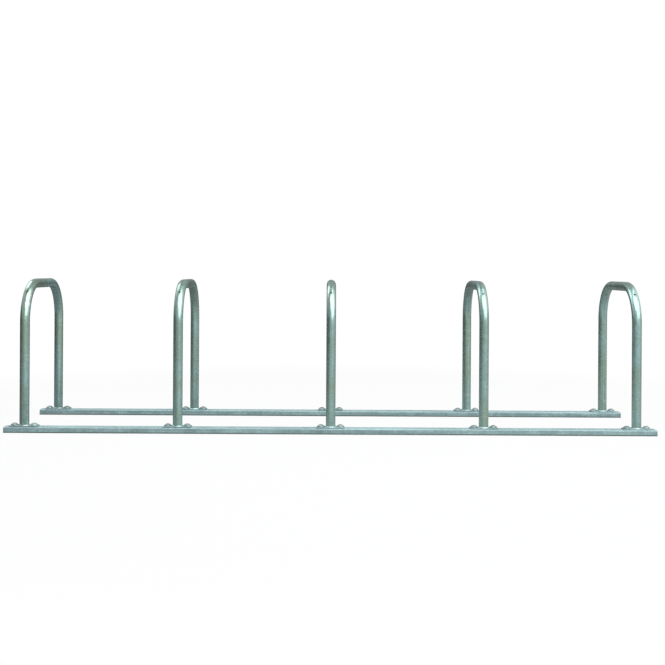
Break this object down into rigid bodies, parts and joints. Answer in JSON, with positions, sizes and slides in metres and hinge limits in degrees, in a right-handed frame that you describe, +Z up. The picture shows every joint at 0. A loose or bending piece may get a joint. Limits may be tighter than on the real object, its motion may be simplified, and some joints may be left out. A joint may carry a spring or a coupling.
{
  "type": "floor bike rack",
  "caption": "Floor-standing bike rack: a row of bent-tube hoops bolted across channel rails that rest on the ground, for leaning and locking bicycles.",
  "frame": {"origin": "on the ground, under the middle of the rack, halfway between the two rails", "axes": "+X along the rails to the right as seen from the front, +Y from the front rail to the rear rail, +Z up"},
  "size_m": [3.4, 0.775, 0.7999],
  "materials": {
    "galvanised_tube": "hot-dip galvanised, satin, lightly mottled and weathered",
    "galvanised_rail": "hot-dip galvanised, dull, with scuffs and stains",
    "galvanised_plate": "hot-dip galvanised, dull",
    "galvanised_weld": "rippled weld under zinc",
    "galvanised_fixing": "zinc-coated, satin"
  },
  "bodies": {
    "root": {"rail_front": "galvanised_rail", "rail_rear": "galvanised_rail", "hoop_tube_1": "galvanised_tube", "base_plate_front_1": "galvanised_plate", "weld_bead_front_1": "galvanised_weld", "base_plate_rear_1": "galvanised_plate", "weld_bead_rear_1": "galvanised_weld", "bolts_hoop_1": "galvanised_fixing", "washers_hoop_1": "galvanised_fixing", "nuts_hoop_1": "galvanised_fixing", "hoop_tube_2": "galvanised_tube", "base_plate_front_2": "galvanised_plate", "weld_bead_front_2": "galvanised_weld", "base_plate_rear_2": "galvanised_plate", "weld_bead_rear_2": "galvanised_weld", "bolts_hoop_2": "galvanised_fixing", "washers_hoop_2": "galvanised_fixing", "nuts_hoop_2": "galvanised_fixing", "hoop_tube_3": "galvanised_tube", "base_plate_front_3": "galvanised_plate", "weld_bead_front_3": "galvanised_weld", "base_plate_rear_3": "galvanised_plate", "weld_bead_rear_3": "galvanised_weld", "bolts_hoop_3": "galvanised_fixing", "washers_hoop_3": "galvanised_fixing", "nuts_hoop_3": "galvanised_fixing", "hoop_tube_4": "galvanised_tube", "base_plate_front_4": "galvanised_plate", "weld_bead_front_4": "galvanised_weld", "base_plate_rear_4": "galvanised_plate", "weld_bead_rear_4": "galvanised_weld", "bolts_hoop_4": "galvanised_fixing", "washers_hoop_4": "galvanised_fixing", "nuts_hoop_4": "galvanised_fixing", "hoop_tube_5": "galvanised_tube", "base_plate_front_5": "galvanised_plate", "weld_bead_front_5": "galvanised_weld", "base_plate_rear_5": "galvanised_plate", "weld_bead_rear_5": "galvanised_weld", "bolts_hoop_5": "galvanised_fixing", "washers_hoop_5": "galvanised_fixing", "nuts_hoop_5": "galvanised_fixing"}
  },
  "joints": []
}
